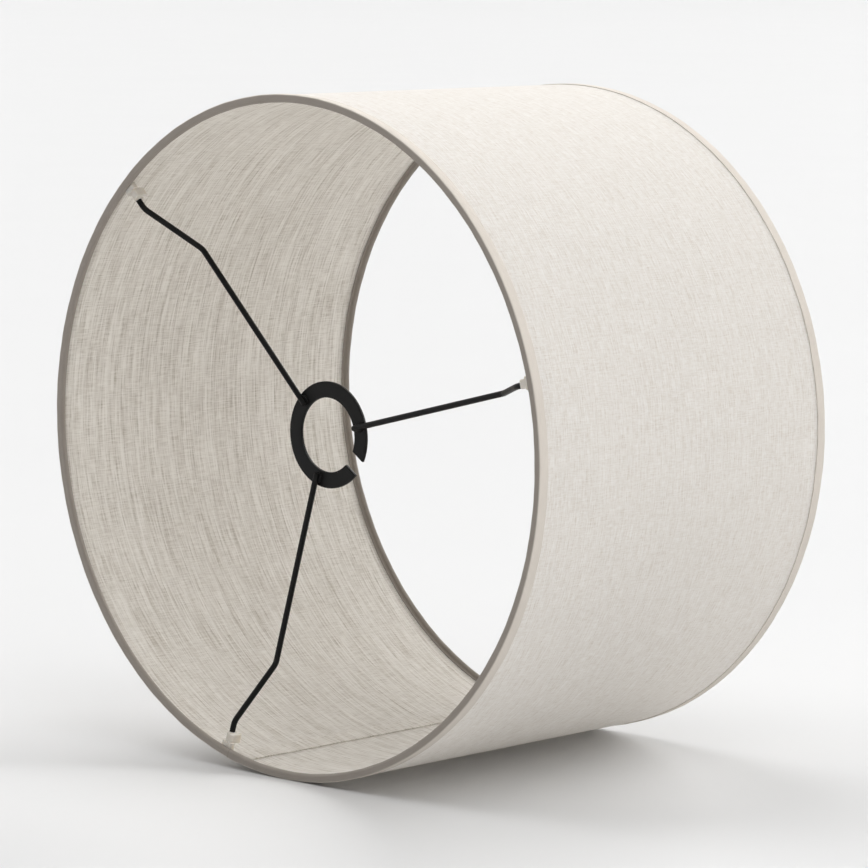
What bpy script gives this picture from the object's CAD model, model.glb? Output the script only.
import math

import bmesh
import bpy
import numpy as np
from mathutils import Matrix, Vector


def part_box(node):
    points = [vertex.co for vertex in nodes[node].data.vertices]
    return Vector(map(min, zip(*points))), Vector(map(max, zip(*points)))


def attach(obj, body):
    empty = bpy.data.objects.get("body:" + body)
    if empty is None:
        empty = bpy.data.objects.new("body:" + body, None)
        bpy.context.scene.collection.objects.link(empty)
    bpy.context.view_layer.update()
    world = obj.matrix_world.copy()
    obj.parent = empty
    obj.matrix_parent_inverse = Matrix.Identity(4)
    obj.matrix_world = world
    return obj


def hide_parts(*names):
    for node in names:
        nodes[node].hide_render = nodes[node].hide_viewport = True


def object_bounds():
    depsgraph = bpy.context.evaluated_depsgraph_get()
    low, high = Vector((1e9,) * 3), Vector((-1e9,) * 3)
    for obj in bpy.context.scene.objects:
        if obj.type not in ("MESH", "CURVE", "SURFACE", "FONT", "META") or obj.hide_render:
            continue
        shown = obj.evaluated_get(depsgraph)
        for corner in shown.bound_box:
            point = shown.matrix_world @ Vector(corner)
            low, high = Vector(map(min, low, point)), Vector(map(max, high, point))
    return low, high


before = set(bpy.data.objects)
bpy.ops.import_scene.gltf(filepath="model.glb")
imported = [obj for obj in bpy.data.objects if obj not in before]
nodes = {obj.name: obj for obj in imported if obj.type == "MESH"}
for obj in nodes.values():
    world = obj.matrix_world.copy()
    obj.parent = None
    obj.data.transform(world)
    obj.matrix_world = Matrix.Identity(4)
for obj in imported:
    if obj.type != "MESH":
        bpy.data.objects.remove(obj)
cad_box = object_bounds()

# The shade lies on its side with its axis along Y: the fitter end at -Y, the open end at +Y.
# Its outside is a drum bound with tape, so the drum's radius and both rims come from the tapes' boxes.
fitter_low, fitter_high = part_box("fitter_end_binding")
open_low, open_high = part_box("open_end_binding")
drum_radius = (fitter_high.z - fitter_low.z) / 2
fitter_rim = fitter_low.y
open_rim = open_high.y

# Camera: a long lens, low down, that looks in at the fitter end and along the drum's right-hand side.
camera_azimuth = math.radians(43.74)
camera_height_angle = math.radians(6.68)
camera_distance = 2.55
camera_aim = Vector((-0.0056, 0.0951, -0.008))
camera_lens = 175.4

away = Vector(
    (
        math.sin(camera_azimuth) * math.cos(camera_height_angle),
        -math.cos(camera_azimuth) * math.cos(camera_height_angle),
        math.sin(camera_height_angle),
    )
)
camera = bpy.data.objects.new("camera", bpy.data.cameras.new("camera"))
bpy.context.scene.collection.objects.link(camera)
camera.data.lens = camera_lens
camera.data.sensor_width = 36
camera.data.clip_start = 0.05
camera.data.clip_end = 200
camera.location = camera_aim + away * camera_distance
camera.rotation_mode = "QUATERNION"
camera.rotation_quaternion = (-away).to_track_quat("-Z", "Y")
bpy.context.scene.camera = camera
bpy.context.scene.view_settings.view_transform = "Standard"


# Linen on the outside of the drum: one natural slubby cloth, bonded to the film and lapped where it meets.
# The long slubs run round the drum, and finer cross threads run along it.
class Value:
    """A socket in a node tree. Arithmetic on it adds Math nodes, and node() adds any other node."""

    def __init__(self, tree, socket):
        self.tree = tree
        self.socket = socket

    def math(self, operation, *values):
        return node(self.tree, "ShaderNodeMath", {"operation": operation}, dict(enumerate(values)))

    def __add__(self, other):
        return self.math("ADD", self, other)

    def __sub__(self, other):
        return self.math("SUBTRACT", self, other)

    def __rsub__(self, other):
        return self.math("SUBTRACT", other, self)

    def __mul__(self, other):
        return self.math("MULTIPLY", self, other)

    def __pow__(self, other):
        return self.math("POWER", self, other)

    __radd__ = __add__
    __rmul__ = __mul__

    def clamped(self):
        return self.math("ADD", self, 0.0)._clamp()

    def _clamp(self):
        self.socket.node.use_clamp = True
        return self

    def wave(self):
        return self.math("SINE", self)


def node(tree, kind, settings, values, output=0):
    """Adds a node: first its settings, then a link or a constant for each named or numbered input."""
    made = tree.nodes.new(kind)
    for key, value in settings.items():
        setattr(made, key, value)
    for key, value in values.items():
        if isinstance(value, Value):
            tree.links.new(value.socket, made.inputs[key])
        else:
            made.inputs[key].default_value = value
    return Value(tree, made.outputs[output])


def new_material(name):
    material = bpy.data.materials.new(name)
    material.use_nodes = True
    material.node_tree.nodes.clear()
    return material, material.node_tree


def finish_material(tree, shader):
    output = tree.nodes.new("ShaderNodeOutputMaterial")
    tree.links.new(shader.socket, output.inputs["Surface"])


def cloth_place(tree):
    """The cloth's own map in metres: how far along the cloth's length, and how far across it."""
    spot = node(tree, "ShaderNodeUVMap", {"uv_map": "Cloth"}, {})
    split = node(tree, "ShaderNodeSeparateXYZ", {}, {0: spot})
    return split, Value(tree, split.socket.node.outputs[1])


def threads(tree, along, across, length, width, detail=2.0, seed=0.0):
    """Noise stretched into threads: a thread's usual length and width are given in metres."""
    spot = node(
        tree, "ShaderNodeCombineXYZ", {}, {0: along * (1 / length), 1: across * (1 / width), 2: seed}
    )
    return node(
        tree,
        "ShaderNodeTexNoise",
        {"noise_dimensions": "3D"},
        {"Vector": spot, "Scale": 1.0, "Detail": detail, "Roughness": 0.55},
    )


def ramp(tree, value, low, high):
    """0 below low, 1 above high, and smooth between them."""
    return node(
        tree,
        "ShaderNodeMapRange",
        {"interpolation_type": "SMOOTHSTEP"},
        {"Value": value, "From Min": low, "From Max": high},
    )


def mixed(tree, share, first, second):
    """A mix of two colours."""
    return node(
        tree, "ShaderNodeMix", {"data_type": "RGBA"}, {"Factor": share, 6: first, 7: second}, output=2
    )


def linen(name, pale, deep, streaks, pass_light, seed):
    """Plain-woven linen over film. The tone, 0 deep to 1 pale, is a sum of thread noises: streaks gives
    each one's length, width and weight, and a negative length stands for threads across the cloth."""
    material, tree = new_material(name)
    along, across = cloth_place(tree)
    tone = 0.62
    for number, (length, width, weight) in enumerate(streaks):
        if length > 0:
            yarn = threads(tree, along, across, length, width, 2.0, seed + 7 * number)
        else:
            yarn = threads(tree, across, along, -length, width, 2.0, seed + 7 * number)
        tone = (yarn - 0.5) * weight + tone
    weave = (along * (2 * math.pi / 0.0011)).wave() * (across * (2 * math.pi / 0.00095)).wave()
    tone = (tone + weave * 0.05).clamped()
    flecks = ramp(tree, threads(tree, along, across, 0.0022, 0.0008, 1.0, seed + 90), 0.80, 0.86)
    body = mixed(tree, tone, deep, pale)
    bump = node(
        tree, "ShaderNodeBump", {}, {"Strength": 0.6, "Distance": 0.00025, "Height": tone + weave * 0.2}
    )
    cloth = node(
        tree,
        "ShaderNodeBsdfPrincipled",
        {},
        {
            "Base Color": mixed(tree, flecks * 0.55, body, (0.36, 0.27, 0.19, 1)),
            "Roughness": 0.98 - tone * 0.12,
            "Specular IOR Level": 0.2,
            "Sheen Weight": 0.12,
            "Sheen Roughness": 0.5,
            "Normal": bump,
        },
    )
    glow = node(tree, "ShaderNodeBsdfTranslucent", {}, {"Color": (0.98, 0.955, 0.92, 1)})
    share = ((tone + 0.45) * pass_light - flecks * 0.1).clamped()
    finish_material(tree, node(tree, "ShaderNodeMixShader", {}, {0: share, 1: cloth, 2: glow}))
    return material


def grid_piece(name, points, cloth_map, close_rows=False, close_columns=False, merge=False):
    """A mesh of four-sided faces over a grid of points. cloth_map gives each corner's place on the cloth."""
    rows, columns = points.shape[:2]
    row, column = np.meshgrid(
        np.arange(rows if close_rows else rows - 1),
        np.arange(columns if close_columns else columns - 1),
        indexing="ij",
    )
    row, column = row.ravel(), column.ravel()
    corners = [(row, column), (row + 1, column), (row + 1, column + 1), (row, column + 1)]
    faces = np.stack([(a % rows) * columns + b % columns for a, b in corners], axis=1)
    places = np.stack([cloth_map[a, b] for a, b in corners], axis=1)
    mesh = bpy.data.meshes.new(name)
    mesh.from_pydata(points.reshape(-1, 3).tolist(), [], faces.tolist())
    layer = mesh.uv_layers.new(name="Cloth")
    layer.data.foreach_set("uv", places.astype(np.float32).ravel())
    if merge:
        work = bmesh.new()
        work.from_mesh(mesh)
        bmesh.ops.remove_doubles(work, verts=work.verts, dist=1e-7)
        bmesh.ops.recalc_face_normals(work, faces=work.faces)
        work.to_mesh(mesh)
        work.free()
    mesh.shade_smooth()
    piece = bpy.data.objects.new(name, mesh)
    bpy.context.scene.collection.objects.link(piece)
    return piece


def round_drum(angle, radius, along_axis):
    """Points on the drum: radius (cos angle, sin angle) across the axis, angles from +X towards +Z."""
    angle, radius, along_axis = np.broadcast_arrays(angle, radius, along_axis)
    return np.stack([radius * np.cos(angle), along_axis, radius * np.sin(angle)], axis=-1)


def drum_sheet(name, radius, low, high, seam_angle, outward):
    """A sheet rolled into a tube: the angle runs once round from the seam, the height from rim to rim."""
    turns, heights = 512, 48
    angle = seam_angle + np.linspace(0, 2 * math.pi, turns, endpoint=False)[:, None]
    height = np.linspace(low, high, heights)[None, :]
    points = round_drum(angle, radius, height)
    along = np.linspace(0, 2 * math.pi * radius, turns + 1)[:, None]
    cloth_map = np.stack(np.broadcast_arrays(along, height - low), axis=-1)
    if not outward:
        points = points[:, ::-1]
        cloth_map = cloth_map[:, ::-1]
    return grid_piece(name, points, cloth_map, close_rows=True)


tape_thickness = 0.0005
linen_thickness = 0.0005
film_thickness = 0.0004
lap_edge = math.radians(259.3)
wall_low = fitter_rim + tape_thickness
wall_high = open_rim - tape_thickness
outside_radius = drum_radius - tape_thickness
outer_linen = drum_sheet("outer_linen_cloth", outside_radius, wall_low, wall_high, lap_edge, True)
outside_streaks = [
    (0.045, 0.0026, 0.40),
    (0.012, 0.0009, 1.35),
    (0.004, 0.0006, 1.00),
    (-0.006, 0.0007, 1.05),
    (-0.020, 0.0012, 0.40),
]
outside_pale = (0.965, 0.95, 0.925, 1)
outside_deep = (0.64, 0.58, 0.51, 1)
outer_linen.data.materials.append(
    linen("linen_outside", outside_pale, outside_deep, outside_streaks, 0.30, 1.0)
)
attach(outer_linen, "drum")
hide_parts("outer_linen")

# Linen on the inside of the drum: the same cloth on the film's other face. Light through the wall
# shows every slub, so the streaks are stronger here.
inside_radius = outside_radius - 2 * linen_thickness - film_thickness
inner_linen = drum_sheet("inner_linen_cloth", inside_radius, wall_low, wall_high, lap_edge, False)
inside_streaks = [
    (0.150, 0.0070, 0.50),
    (0.060, 0.0022, 1.00),
    (0.030, 0.0012, 1.45),
    (0.010, 0.0008, 1.00),
    (-0.010, 0.0008, 1.15),
]
inside_pale = (0.945, 0.92, 0.872, 1)
inside_deep = (0.40, 0.353, 0.287, 1)
inner_cloth = linen("linen_inside", inside_pale, inside_deep, inside_streaks, 0.38, 31.0)
inner_linen.data.materials.append(inner_cloth)
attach(inner_linen, "drum")
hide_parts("inner_linen")


# Film between the linens: thin white lampshade film that lets the light through and keeps the drum round.
def clear_sheet(name, colour, cover):
    """Thin milky sheet with a faint ripple. cover is how much of what is behind it the sheet hides."""
    material, tree = new_material(name)
    place = node(tree, "ShaderNodeTexCoord", {}, {}, output=3)
    ripple = node(tree, "ShaderNodeTexNoise", {}, {"Vector": place, "Scale": 40.0, "Detail": 2.0})
    bump = node(tree, "ShaderNodeBump", {}, {"Strength": 0.2, "Distance": 0.0002, "Height": ripple})
    sheet = node(
        tree,
        "ShaderNodeBsdfPrincipled",
        {},
        {
            "Base Color": mixed(tree, ripple, colour, (0.86, 0.85, 0.82, 1)),
            "Roughness": ripple * 0.2 + 0.35,
            "Alpha": cover,
            "Normal": bump,
        },
    )
    finish_material(tree, sheet)
    return material


def dress(name, material):
    """Puts one material on a CAD node in place of its own."""
    slots = nodes[name].data.materials
    slots.clear()
    slots.append(material)


dress("drum_film", clear_sheet("shade_film", (0.93, 0.92, 0.90, 1), 0.2))
dress("lap_adhesive", clear_sheet("lap_glue", (0.90, 0.88, 0.82, 1), 0.5))

# Lap seam: the sheet's end lies over itself inside the drum, a straight step one sheet thick.
# It is trimmed just short of the tape at both rims.
lap_low, lap_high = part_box("lap_end")
lap_width = 0.0115
lap_step = linen_thickness + film_thickness
lap_outer = inside_radius - 0.00012
lap_round = 0.0002
lap_turns, lap_steps = 14, 96


def rounded_box_profile(width, thickness, radius, count):
    """Points round a strip's cross section: straight sides joined by quarter circles, then closed."""
    turn = np.linspace(0, 2 * math.pi, count, endpoint=False) + math.pi / count
    power = 0.22
    x = np.sign(np.cos(turn)) * np.abs(np.cos(turn)) ** power
    z = np.sign(np.sin(turn)) * np.abs(np.sin(turn)) ** power
    return x * width / 2, z * thickness / 2


strip_across, strip_up = rounded_box_profile(lap_width, lap_step, lap_round, 64)
lap_middle = lap_outer - lap_step / 2
lap_angle = lap_edge - lap_width / 2 / lap_outer + strip_across / lap_middle
lap_radius = lap_middle + strip_up
lap_height = np.linspace(lap_low.y, lap_high.y, lap_steps)
ripple = 0.00012 * np.sin(lap_height * 90) + 0.00008 * np.sin(lap_height * 233)
lap_points = round_drum(
    lap_angle[None, :] + ripple[:, None] / lap_outer, lap_radius[None, :], lap_height[:, None]
)
end_low = lap_points[:1].mean(axis=1, keepdims=True).repeat(lap_points.shape[1], axis=1)
end_high = lap_points[-1:].mean(axis=1, keepdims=True).repeat(lap_points.shape[1], axis=1)
lap_points = np.concatenate([end_low, lap_points, end_high])
lap_closed = np.concatenate([lap_points, lap_points[:, :1]], axis=1)
lap_turned = np.unwrap(np.arctan2(lap_closed[..., 2], lap_closed[..., 0]), axis=1)
lap_map = np.stack([lap_turned * inside_radius + 0.31, lap_closed[..., 1] + 0.17], axis=-1)
lap_piece = grid_piece("lap_end_cloth", lap_points, lap_map, close_columns=True, merge=True)
lap_piece.data.materials.append(inner_cloth)
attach(lap_piece, "drum")
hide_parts("lap_end")

# Rim wires: a round steel wire ring inside the tape at each rim, hidden, which holds the rim's shape.
def drawn_wire():
    """Plain steel with fine drawing lines round the wire and a few dull spots."""
    material, tree = new_material("rim_wire_steel")
    place = node(tree, "ShaderNodeTexCoord", {}, {}, output=3)
    dull = node(tree, "ShaderNodeTexNoise", {}, {"Vector": place, "Scale": 180.0, "Detail": 4.0})
    bump = node(tree, "ShaderNodeBump", {}, {"Strength": 0.1, "Distance": 0.0001, "Height": dull})
    steel = node(
        tree,
        "ShaderNodeBsdfPrincipled",
        {},
        {
            "Base Color": mixed(tree, dull, (0.58, 0.58, 0.59, 1), (0.40, 0.39, 0.38, 1)),
            "Metallic": 1.0,
            "Roughness": dull * 0.25 + 0.25,
            "Normal": bump,
        },
    )
    finish_material(tree, steel)
    return material


wire_steel = drawn_wire()
dress("fitter_end_wire", wire_steel)
dress("open_end_wire", wire_steel)


# Binding: a strip of cotton tape at each rim, folded over the edge and round the wire, and glued down.
# Its two ends lap at one place, where the upper end shows as a thin line across the tape.
def binding_cloth():
    """Fine cotton tape, pale where it lies flat on the outside and darker from the fold inwards, where
    the glue has soaked it. A thin dark line crosses it where its upper end stops."""
    material, tree = new_material("binding_tape")
    along, across = cloth_place(tree)
    ribs = (along * (2 * math.pi / 0.0009) + across * (2 * math.pi / 0.0012)).wave()
    yarn = threads(tree, along, across, 0.006, 0.0006, 2.0, 3.0)
    patches = threads(tree, along, across, 0.03, 0.01, 2.0, 7.0)
    fold = ramp(tree, across, 0.0070, 0.0082)
    end_line = (1.0 - ramp(tree, along, 0.0002, 0.0007)) * 0.7
    tone = (yarn * 0.5 + patches * 0.4 + ribs * 0.05 + end_line).clamped()
    flat_part = mixed(tree, tone, (0.76, 0.705, 0.64, 1), (0.56, 0.51, 0.45, 1))
    folded_part = mixed(tree, tone, (0.36, 0.325, 0.29, 1), (0.25, 0.22, 0.19, 1))
    bump = node(
        tree, "ShaderNodeBump", {}, {"Strength": 0.5, "Distance": 0.0002, "Height": ribs * 0.4 + yarn}
    )
    tape = node(
        tree,
        "ShaderNodeBsdfPrincipled",
        {},
        {
            "Base Color": mixed(tree, fold, flat_part, folded_part),
            "Roughness": 0.92 - yarn * 0.1,
            "Specular IOR Level": 0.2,
            "Sheen Weight": 0.1,
            "Sheen Roughness": 0.4,
            "Normal": bump,
        },
    )
    finish_material(tree, tape)
    return material


band_width = 0.007
wire_radius = 0.0012
wire_gap = 0.00005
tape_tail = 0.001
corner_radius = 0.0007
bead_inside = wire_radius + wire_gap
bead_outside = bead_inside + tape_thickness
wire_circle = inside_radius - bead_inside
wire_depth = tape_thickness + bead_inside


def turn_arc(centre, radius, first, last, count):
    """Points on a circle between two angles, in the section's radius and depth directions."""
    angle = np.radians(np.linspace(first, last, count))
    return np.stack([centre[0] + radius * np.cos(angle), centre[1] + radius * np.sin(angle)], axis=-1)


def run(first, last, count):
    """Evenly spaced points on a straight line, without its last point."""
    share = np.linspace(0, 1, count, endpoint=False)[:, None]
    return np.array(first) * (1 - share) + np.array(last) * share


def tape_section():
    """The folded tape's closed outline as (radius, depth): down the outside, round the wire, and back."""
    edge = (drum_radius - corner_radius, corner_radius)
    hub = (wire_circle, wire_depth)
    slack = inside_radius - wire_circle
    tail = inside_radius - tape_thickness
    return_depth = wire_depth + bead_inside + slack
    end_depth = return_depth + tape_tail
    soft = tape_thickness / 2
    outside = [
        turn_arc((outside_radius + soft, band_width - soft), soft, 180, 0, 7)[:-1],
        run((drum_radius, band_width - soft), (drum_radius, corner_radius), 10),
        turn_arc(edge, corner_radius, 0, -90, 7)[:-1],
        run((edge[0], 0), (wire_circle, 0), 4),
        turn_arc(hub, bead_outside, -90, -270, 19)[:-1],
        run((wire_circle, wire_depth + bead_outside), (tail, return_depth), 3),
        run((tail, return_depth), (tail, end_depth - soft), 3),
        turn_arc((tail + soft, end_depth - soft), soft, 180, 0, 7)[:-1],
        run((inside_radius, end_depth - soft), (inside_radius, return_depth), 3),
        run((inside_radius, return_depth), (wire_circle, wire_depth + bead_inside), 3),
        turn_arc(hub, bead_inside, -270, -90, 15)[:-1],
        run((wire_circle, tape_thickness), (outside_radius, tape_thickness), 4),
        run((outside_radius, tape_thickness), (outside_radius, band_width - soft), 8),
    ]
    return np.concatenate(outside)


def bind_rim(name, node_name, rim, inward, joint_angle, cloth, seed):
    """The tape's section carried once round the rim. Near its joint the upper end stands a little proud,
    and the free edges wander by a tenth of a millimetre or two."""
    turns = 900
    section = tape_section()
    shown = np.zeros(len(section))
    shown[6:52] = 1.0
    angle = joint_angle + np.linspace(0, 2 * math.pi, turns, endpoint=False)
    travelled = (angle - joint_angle) * drum_radius
    overlap = np.clip(1 - travelled / 0.012, 0, 1) ** 0.5 * 0.00022
    wander = 0.00012 * np.sin(angle * 23 + seed) + 0.00008 * np.sin(angle * 57 + 2 * seed)
    swell = 0.00005 * np.sin(angle * 31 + seed) + 0.00004 * np.sin(angle * 83 + seed)
    centre = np.array([wire_circle, wire_depth])
    from_wire = section - centre
    outward = from_wire / np.linalg.norm(from_wire, axis=1, keepdims=True)
    outer_band = (section[:, 0] > outside_radius + 1e-9) & (section[:, 1] > corner_radius)
    outward[outer_band] = (1, 0)
    push = (overlap + swell)[:, None] * shown[None, :]
    radius = section[None, :, 0] + push * outward[None, :, 0]
    depth = section[None, :, 1] + push * np.minimum(outward[None, :, 1], 0)
    edge_share = np.clip((section[:, 1] - 0.005) / 0.002, 0, 1) * (section[:, 0] > outside_radius - 1e-9)
    depth = depth + wander[:, None] * edge_share[None, :]
    depth = np.maximum(depth, 0)
    radius = np.minimum(radius, drum_radius + 0.0004)
    points = round_drum(angle[:, None], radius, rim + inward * depth)
    steps = np.linalg.norm(np.diff(section, axis=0, append=section[:1]), axis=1)
    across = np.concatenate([[0], np.cumsum(steps)])
    along = np.linspace(0, 2 * math.pi * drum_radius, turns + 1)
    cloth_map = np.stack(np.meshgrid(along, across, indexing="ij"), axis=-1)
    if inward < 0:
        points = points[:, ::-1]
        cloth_map = cloth_map[:, ::-1]
    piece = grid_piece(name, points, cloth_map, close_rows=True, close_columns=True)
    work = bmesh.new()
    work.from_mesh(piece.data)
    bmesh.ops.recalc_face_normals(work, faces=work.faces)
    work.to_mesh(piece.data)
    work.free()
    piece.data.materials.append(cloth)
    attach(piece, "drum")
    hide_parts(node_name)
    return piece


tape_cloth = binding_cloth()
fitter_joint = math.radians(255.5)
open_joint = math.radians(262.0)
bind_rim("fitter_end_tape", "fitter_end_binding", fitter_rim, 1, fitter_joint, tape_cloth, 1.0)
bind_rim("open_end_tape", "open_end_binding", open_rim, -1, open_joint, tape_cloth, 4.0)


# Fitter ring: a flat steel plate with a slot, cut out, its edges eased, and powder coated black.
def powder_coat():
    """Satin black coating: fine orange peel, and edges and high spots rubbed a little smoother."""
    material, tree = new_material("black_powder_coat")
    place = node(tree, "ShaderNodeTexCoord", {}, {}, output=3)
    peel = node(tree, "ShaderNodeTexNoise", {}, {"Vector": place, "Scale": 1400.0, "Detail": 2.0})
    marks = node(tree, "ShaderNodeTexNoise", {}, {"Vector": place, "Scale": 130.0, "Detail": 4.0})
    bump = node(tree, "ShaderNodeBump", {}, {"Strength": 0.35, "Distance": 0.00006, "Height": peel})
    coat = node(
        tree,
        "ShaderNodeBsdfPrincipled",
        {},
        {
            "Base Color": mixed(tree, marks, (0.0015, 0.0015, 0.0015, 1), (0.006, 0.0055, 0.005, 1)),
            "Roughness": marks * 0.2 + 0.36,
            "Specular IOR Level": 0.18,
            "Normal": bump,
        },
    )
    finish_material(tree, coat)
    return material


black_coat = powder_coat()
plate_low, plate_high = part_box("fitter_ring")
plate_inner = 0.022
plate_outer = (plate_high.z - plate_low.z) / 2
plate_thickness = plate_high.y - plate_low.y
plate_edge = 0.00035
slot_half = 0.005
slot_angle = math.radians(-35)


def eased_end(edge):
    """A quarter circle at a cut end: how far in from the cut each row stands, and how far it is pulled in."""
    turn = np.linspace(0, math.pi / 2, 4)
    return edge * (1 - np.cos(turn)), edge * (1 - np.sin(turn))


def eased_rectangle(low, high, thickness, edge, count):
    """A rectangle's outline as (radius, y), each corner a quarter circle and each side a straight run."""
    half = thickness / 2 - edge
    parts = [
        turn_arc((high - edge, half), edge, 0, 90, count),
        run((high - edge, half + edge), (low + edge, half + edge), 8)[1:],
        turn_arc((low + edge, half), edge, 90, 180, count),
        turn_arc((low + edge, -half), edge, 180, 270, count),
        run((low + edge, -half - edge), (high - edge, -half - edge), 8)[1:],
        turn_arc((high - edge, -half), edge, 270, 360, count),
    ]
    return np.concatenate(parts)


def slotted_plate():
    """The plate's outline carried round from one side of the slot to the other: each point starts and
    stops where its own radius meets the slot's straight sides. Both cut ends are eased and closed."""
    section = eased_rectangle(plate_inner, plate_outer, plate_thickness, plate_edge, 5)
    middle = section.mean(axis=0)
    stand, pull = eased_end(plate_edge)
    body = np.linspace(0, 1, 180)[1:-1]
    share = np.concatenate([np.zeros(5), body, np.ones(5)])
    set_in = np.concatenate([[0], stand, np.full(178, plate_edge), stand[::-1], [0]])
    pulled = np.concatenate([[1], pull, np.zeros(178), pull[::-1], [1]])
    offset = section - middle
    size = np.maximum(np.abs(offset)[None] - pulled[:, None, None], 0)
    outline = middle + np.sign(offset)[None] * size
    radius = outline[..., 0]
    start = np.arcsin(slot_half / radius) + set_in[:, None] / radius
    angle = slot_angle + start + share[:, None] * (2 * math.pi - 2 * start)
    return round_drum(angle, radius, outline[..., 1])


plate_points = slotted_plate()
plate_rows, plate_columns = plate_points.shape[:2]
plate_along = np.linspace(0, 2 * math.pi * plate_outer, plate_rows)
plate_across = np.linspace(0, 0.023, plate_columns + 1)
plate_map = np.stack(np.meshgrid(plate_along, plate_across, indexing="ij"), axis=-1)
plate = grid_piece("fitter_plate", plate_points, plate_map, close_columns=True, merge=True)
plate.data.materials.append(black_coat)
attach(plate, "spider")
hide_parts("fitter_ring")

# Arms: three round rods, each laid on the ring, run outwards, kinked towards the rim and ended in its
# clip. They are bent by hand, so they stand a degree off even thirds, and are coated with the ring.
arm_angles = np.radians([134.9, 253.3, 13.9])
rod_radius = 0.00175
rod_plane = plate_low.y - 0.00025 - rod_radius
rod_seat = fitter_rim + 0.0081
rod_tip = wire_circle - bead_outside - 0.0013
rod_start = plate_inner + 0.002
kink_outer = rod_tip - 0.013
kink_inner = kink_outer - 0.0341
rod_bend = 0.008
rod_edge = 0.0003
rod_corners = np.array(
    [[rod_start, rod_plane], [kink_inner, rod_plane], [kink_outer, rod_seat], [rod_tip, rod_seat]]
)


def unit(direction):
    return direction / np.linalg.norm(direction, axis=-1, keepdims=True)


def bent_line(corners, bend, spacing):
    """Straight runs joined by tangent arcs, as points (radius, y) about one spacing apart."""
    pieces = []
    start = corners[0]
    for before, corner, after in zip(corners, corners[1:], corners[2:]):
        back = unit(before - corner)
        onward = unit(after - corner)
        half = math.acos(float(back @ onward)) / 2
        hub = corner + unit(back + onward) * (bend / math.sin(half))
        first = corner + back * (bend / math.tan(half))
        last = corner + onward * (bend / math.tan(half))
        pieces.append(run(start, first, int(np.linalg.norm(first - start) / spacing) + 2))
        chord = run(first, last, 12) - hub
        pieces.append(hub + bend * unit(chord))
        start = last
    pieces.append(run(start, corners[-1], int(np.linalg.norm(corners[-1] - start) / spacing) + 2))
    pieces.append(corners[-1:])
    return np.concatenate(pieces)


def rod_surface(line, radius, angle, edge):
    """A circle carried along a bent line that lies in the drum's radial plane at an angle. Each end is
    eased by a quarter circle and closed."""
    stand, pull = eased_end(edge)
    tangent = unit(np.gradient(line, axis=0))
    start = line[0] + tangent[0] * stand[:, None]
    stop = line[-1] - tangent[-1] * stand[::-1, None]
    path = np.concatenate([line[:1], start, line[1:-1], stop, line[-1:]])
    slope = np.concatenate([tangent[:1].repeat(5, 0), tangent[1:-1], tangent[-1:].repeat(5, 0)])
    body = np.full(len(line) - 2, radius)
    size = np.concatenate([[0], radius - pull, body, radius - pull[::-1], [0]])
    turn = np.linspace(0, 2 * math.pi, 28, endpoint=False)
    side = np.stack([-slope[:, 1], slope[:, 0]], axis=-1)
    in_plane = path[:, None] + side[:, None] * (size[:, None] * np.cos(turn))[..., None]
    across = size[:, None] * np.sin(turn)
    outward = np.array([math.cos(angle), 0, math.sin(angle)])
    sideways = np.array([-math.sin(angle), 0, math.cos(angle)])
    axis = np.array([0, 1, 0])
    return in_plane[..., :1] * outward + in_plane[..., 1:] * axis + across[..., None] * sideways


rod_line = bent_line(rod_corners, rod_bend, 0.003)
for number, angle in enumerate(arm_angles, start=1):
    rod_points = rod_surface(rod_line, rod_radius, angle, rod_edge)
    rod_along = np.linspace(0, 0.18, rod_points.shape[0])
    rod_round = np.linspace(0, 2 * math.pi * rod_radius, rod_points.shape[1] + 1)
    rod_map = np.stack(np.meshgrid(rod_along, rod_round, indexing="ij"), axis=-1)
    rod = grid_piece(f"rod_{number}", rod_points, rod_map, close_columns=True, merge=True)
    rod.data.materials.append(black_coat)
    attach(rod, "spider")
    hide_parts(f"arm_{number}")

# Welds: a low bead on both sides of each rod where it lies on the ring, under the same black coating.
weld_length = 0.0066
weld_half_width = 0.0028
weld_rise = 0.0015
weld_middle = (plate_inner + plate_outer) / 2


def weld_surface(angle):
    """A long low mound: an ellipse in plan whose width ripples along its length, flat where it meets
    the plate. The first parameter runs along the bead, the second round it."""
    along = np.linspace(-1, 1, 41)
    turn = np.linspace(0, 2 * math.pi, 24, endpoint=False)
    taper = np.sqrt(np.clip(1 - np.abs(along) ** 3, 0, 1))
    ripple = 1 + 0.05 * np.sin(along * 19)
    out = weld_middle + along * weld_length / 2
    side = (taper * ripple)[:, None] * np.cos(turn)[None, :] * weld_half_width
    up = taper[:, None] * np.sin(turn)[None, :]
    rise = np.where(up > 0, up * weld_rise, up * 0.0004)
    outward = np.array([math.cos(angle), 0.0, math.sin(angle)])
    sideways = np.array([-math.sin(angle), 0.0, math.cos(angle)])
    axis = np.array([0.0, -1.0, 0.0])
    face = -plate_low.y
    return (
        out[:, None, None] * outward + side[..., None] * sideways + (face + rise)[..., None] * axis
    )


for number, angle in enumerate(arm_angles, start=1):
    weld_points = weld_surface(angle)
    weld_map = np.zeros((weld_points.shape[0], weld_points.shape[1] + 1, 2))
    weld = grid_piece(f"weld_bead_{number}", weld_points, weld_map, close_columns=True, merge=True)
    weld.data.materials.append(black_coat)
    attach(weld, "spider")
    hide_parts(f"weld_{number}")


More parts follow.
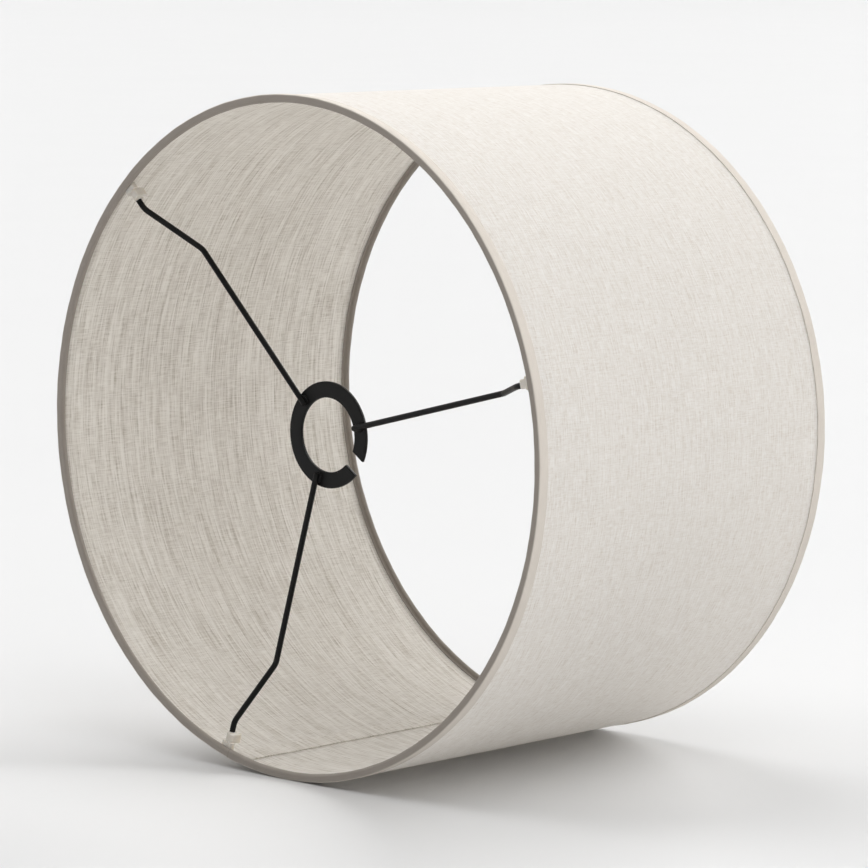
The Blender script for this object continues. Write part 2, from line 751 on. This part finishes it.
# Clips: small moulded saddles of milky plastic. Each hooks over the bound wire and holds a rod's end.
def milky_plastic():
    """Translucent moulded plastic: a faint flow pattern and a soft waxy gloss."""
    material, tree = new_material("milky_plastic")
    place = node(tree, "ShaderNodeTexCoord", {}, {}, output=3)
    flow = node(tree, "ShaderNodeTexNoise", {}, {"Vector": place, "Scale": 500.0, "Detail": 3.0})
    bump = node(tree, "ShaderNodeBump", {}, {"Strength": 0.2, "Distance": 0.0001, "Height": flow})
    plastic = node(
        tree,
        "ShaderNodeBsdfPrincipled",
        {},
        {
            "Base Color": mixed(tree, flow, (0.70, 0.66, 0.60, 1), (0.58, 0.54, 0.48, 1)),
            "Roughness": flow * 0.2 + 0.3,
            "Subsurface Weight": 0.6,
            "Subsurface Radius": (0.003, 0.0027, 0.0022),
            "Subsurface Scale": 1.0,
            "Normal": bump,
        },
    )
    finish_material(tree, plastic)
    return material


clip_plastic = milky_plastic()
clip_edge = 0.0003
for number in range(1, 4):
    clip_mesh = nodes[f"clip_{number}"].data.copy()
    clip_mesh.name = f"saddle_{number}"
    clip_mesh.materials.clear()
    clip_mesh.materials.append(clip_plastic)
    work = bmesh.new()
    work.from_mesh(clip_mesh)
    bmesh.ops.remove_doubles(work, verts=work.verts, dist=1e-6)
    bmesh.ops.dissolve_limit(work, angle_limit=math.radians(1), verts=work.verts, edges=work.edges)
    work.to_mesh(clip_mesh)
    work.free()
    clip_piece = bpy.data.objects.new(f"saddle_{number}", clip_mesh)
    bpy.context.scene.collection.objects.link(clip_piece)
    easing = clip_piece.modifiers.new("eased edges", "BEVEL")
    easing.width = clip_edge
    easing.segments = 3
    easing.limit_method = "ANGLE"
    easing.angle_limit = math.radians(35)
    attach(clip_piece, "drum")
    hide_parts(f"clip_{number}")

# Floor: a wide pale studio sweep, flat under the shade and curved up far away on every side.
floor_height = cad_box[0].z - 0.0002
floor_reach = 45.0
sweep_radius = 6.0


def studio_sweep():
    """A disc that turns up into a wall: flat to its reach, then a quarter circle, carried round once."""
    flat_part = np.linspace(0.0, 1.0, 30) ** 3 * floor_reach
    rise = np.linspace(0, math.pi / 2, 16)[1:]
    radius = np.concatenate([flat_part, floor_reach + sweep_radius * np.sin(rise)])
    height = np.concatenate([np.zeros(30), sweep_radius * (1 - np.cos(rise))])
    turn = np.linspace(0, 2 * math.pi, 96, endpoint=False)
    x = radius[None, :] * np.cos(turn)[:, None]
    y = radius[None, :] * np.sin(turn)[:, None]
    z = np.broadcast_to(floor_height + height[None, :], x.shape)
    return np.stack([x, y, z], axis=-1)


def painted_floor():
    """Matt white paint with the faintest mottle."""
    material, tree = new_material("white_floor")
    place = node(tree, "ShaderNodeTexCoord", {}, {}, output=3)
    mottle = node(tree, "ShaderNodeTexNoise", {}, {"Vector": place, "Scale": 3.0, "Detail": 3.0})
    paint = node(
        tree,
        "ShaderNodeBsdfPrincipled",
        {},
        {
            "Base Color": mixed(tree, mottle, (0.645, 0.645, 0.645, 1), (0.66, 0.66, 0.66, 1)),
            "Roughness": 0.6,
            "Specular IOR Level": 0.2,
        },
    )
    finish_material(tree, paint)
    return material


sweep_points = studio_sweep()
sweep_map = np.zeros((sweep_points.shape[0] + 1, sweep_points.shape[1], 2))
floor = grid_piece("studio_floor", sweep_points, sweep_map, close_rows=True, merge=True)
floor.data.materials.append(painted_floor())

# Light: an even pale room, and broad soft lamps that reach the shade from far off.
room = bpy.data.worlds.new("studio_room")
room.use_nodes = True
bpy.context.scene.world = room
room_glow = room.node_tree.nodes["Background"]
room_glow.inputs["Color"].default_value = (1.0, 1.0, 1.0, 1)
room_glow.inputs["Strength"].default_value = 0.10


def soft_lamp(name, towards, spread, strength):
    """A far lamp. towards points from the shade to the lamp, and spread is how wide it looks, in degrees."""
    lamp = bpy.data.lights.new(name, "SUN")
    lamp.angle = math.radians(spread)
    lamp.energy = strength
    holder = bpy.data.objects.new(name, lamp)
    bpy.context.scene.collection.objects.link(holder)
    holder.rotation_mode = "QUATERNION"
    holder.rotation_quaternion = Vector(towards).to_track_quat("Z", "Y")


soft_lamp("top_lamp", (0, 0, 1), 90, 0.46)
soft_lamp("right_lamp", (1, 0, 1), 70, 1.40)
soft_lamp("left_lamp", (-1, 0, 1), 70, 2.00)
soft_lamp("back_lamp", (0, 1, 0.25), 60, 4.70)
